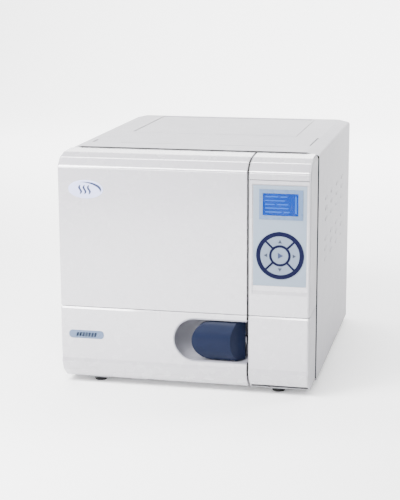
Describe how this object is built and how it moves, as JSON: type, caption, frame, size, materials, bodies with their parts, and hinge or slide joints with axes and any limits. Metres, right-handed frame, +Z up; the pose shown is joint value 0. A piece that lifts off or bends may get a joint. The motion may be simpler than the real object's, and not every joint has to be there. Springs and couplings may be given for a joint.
{
  "type": "benchtop autoclave",
  "caption": "Benchtop steam autoclave: boxy white casing, left-hinged pressure door with a lever handle, control column with screen and round keypad.",
  "frame": {"origin": "below the middle of the machine's bounding box, on the table", "axes": "+Z up, front and door face -Y, +X to the right seen from the front"},
  "size_m": [0.457, 0.567, 0.4257],
  "materials": {
    "casing_white": "fine moulded texture",
    "door_white": "semi gloss",
    "silver_label": "satin printed film",
    "silver_bezel": "satin",
    "clear_window": "clear polished",
    "screen_blue": "backlit liquid crystal",
    "navy_plastic": "satin",
    "key_silver": "satin",
    "circuit_board": "solder mask",
    "dark_plastic": "moulded",
    "stainless": "brushed",
    "painted_steel": "powder coat",
    "badge_blue": "gloss",
    "pocket_grey": "fine texture",
    "handle_blue": "semi gloss",
    "silicone": "translucent silicone",
    "black_rubber": "moulded",
    "insulation": "needled felt",
    "tank_plastic": "translucent moulded",
    "fin_aluminium": "mill finish",
    "valve_brass": "turned",
    "lever_red": "dipped"
  },
  "bodies": {
    "chassis": {"air_filter": "tank_plastic", "base_plate": "painted_steel", "chamber_vessel": "stainless", "column_housing": "casing_white", "column_lower_panel": "door_white", "column_top_panel": "door_white", "condenser": "fin_aluminium", "control_board": "circuit_board", "control_panel": "door_white", "display_bezel": "silver_bezel", "display_window": "clear_window", "drain_valve": "valve_brass", "fan_frame": "dark_plastic", "flange_bolts": "stainless", "front_bulkhead": "painted_steel", "hinge_bracket": "stainless", "hinge_pin": "stainless", "insulation_jacket": "insulation", "keypad_ring": "navy_plastic", "label_overlay": "silver_label", "lcd_module": "screen_blue", "lock_solenoid": "dark_plastic", "main_board": "circuit_board", "outer_cover": "casing_white", "power_inlet": "dark_plastic", "power_switch": "dark_plastic", "rear_panel": "painted_steel", "rubber_feet": "black_rubber", "safety_valve": "valve_brass", "steam_generator": "stainless", "steam_pipes": "silicone", "tray_rack": "stainless", "vacuum_pump": "dark_plastic", "water_tank": "tank_plastic"},
    "door": {"door_upper_cover": "door_white", "door_lower_cover": "door_white", "door_badges": "badge_blue", "handle_pocket": "pocket_grey", "door_back_plate": "painted_steel", "door_yoke": "painted_steel", "pressure_disc": "stainless", "door_gasket": "silicone", "disc_nut": "stainless", "handle_pin": "stainless"},
    "handle": {"door_handle": "handle_blue", "latch_hook": "stainless"},
    "lock_bolt": {"lock_bolt": "stainless"},
    "tank_lid": {"tank_lid": "casing_white"},
    "fan_rotor": {"fan_rotor": "dark_plastic"},
    "safety_valve_stem": {"safety_valve_stem": "valve_brass"},
    "drain_lever": {"drain_lever": "lever_red"},
    "power_rocker": {"power_rocker": "dark_plastic"},
    "key_start": {"key_start": "key_silver"},
    "key_up": {"key_up": "key_silver"},
    "key_down": {"key_down": "key_silver"},
    "key_left": {"key_left": "key_silver"},
    "key_right": {"key_right": "key_silver"},
    "tray_1": {"tray_1": "stainless"},
    "tray_2": {"tray_2": "stainless"},
    "tray_3": {"tray_3": "stainless"}
  },
  "joints": [
    {"name": "door_hinge", "type": "hinge", "parent": "chassis", "child": "door", "pos_m": [-0.211, -0.2095, 0.232], "axis": [0, 0, -1], "range_deg": [0, 95]},
    {"name": "handle_hinge", "type": "hinge", "parent": "door", "child": "handle", "pos_m": [0.0875, -0.2675, 0.0976], "axis": [0, 0, 1], "range_deg": [0, 100]},
    {"name": "lock_bolt_slide", "type": "slide", "parent": "chassis", "child": "lock_bolt", "axis": [-1, 0, 0], "range_m": [0, 0.01]},
    {"name": "tank_lid_hinge", "type": "hinge", "parent": "chassis", "child": "tank_lid", "pos_m": [0, 0.2477, 0.4232], "axis": [-1, 0, 0], "range_deg": [0, 80]},
    {"name": "fan_spin", "type": "hinge", "parent": "chassis", "child": "fan_rotor", "pos_m": [-0.12, 0.25, 0.175], "axis": [0, 1, 0], "continuous": true},
    {"name": "safety_valve_pull", "type": "slide", "parent": "chassis", "child": "safety_valve_stem", "axis": [0, 1, 0], "range_m": [0, 0.003], "stiffness_N_per_m": 1000},
    {"name": "drain_lever_turn", "type": "hinge", "parent": "chassis", "child": "drain_lever", "pos_m": [-0.18, 0.2718, 0.054], "axis": [0, 0, 1], "range_deg": [0, 90]},
    {"name": "power_rocker_tilt", "type": "hinge", "parent": "chassis", "child": "power_rocker", "pos_m": [0.195, 0.2615, 0.044], "axis": [1, 0, 0], "range_deg": [0, 16]},
    {"name": "key_start_press", "type": "slide", "parent": "chassis", "child": "key_start", "axis": [0, 1, 0], "range_m": [0, 0.001], "stiffness_N_per_m": 800},
    {"name": "key_up_press", "type": "slide", "parent": "chassis", "child": "key_up", "axis": [0, 1, 0], "range_m": [0, 0.001], "stiffness_N_per_m": 800},
    {"name": "key_down_press", "type": "slide", "parent": "chassis", "child": "key_down", "axis": [0, 1, 0], "range_m": [0, 0.001], "stiffness_N_per_m": 800},
    {"name": "key_left_press", "type": "slide", "parent": "chassis", "child": "key_left", "axis": [0, 1, 0], "range_m": [0, 0.001], "stiffness_N_per_m": 800},
    {"name": "key_right_press", "type": "slide", "parent": "chassis", "child": "key_right", "axis": [0, 1, 0], "range_m": [0, 0.001], "stiffness_N_per_m": 800},
    {"name": "tray_1_slide", "type": "slide", "parent": "chassis", "child": "tray_1", "axis": [0, -1, 0], "range_m": [0, 0.025]},
    {"name": "tray_2_slide", "type": "slide", "parent": "chassis", "child": "tray_2", "axis": [0, -1, 0], "range_m": [0, 0.025]},
    {"name": "tray_3_slide", "type": "slide", "parent": "chassis", "child": "tray_3", "axis": [0, -1, 0], "range_m": [0, 0.025]}
  ]
}
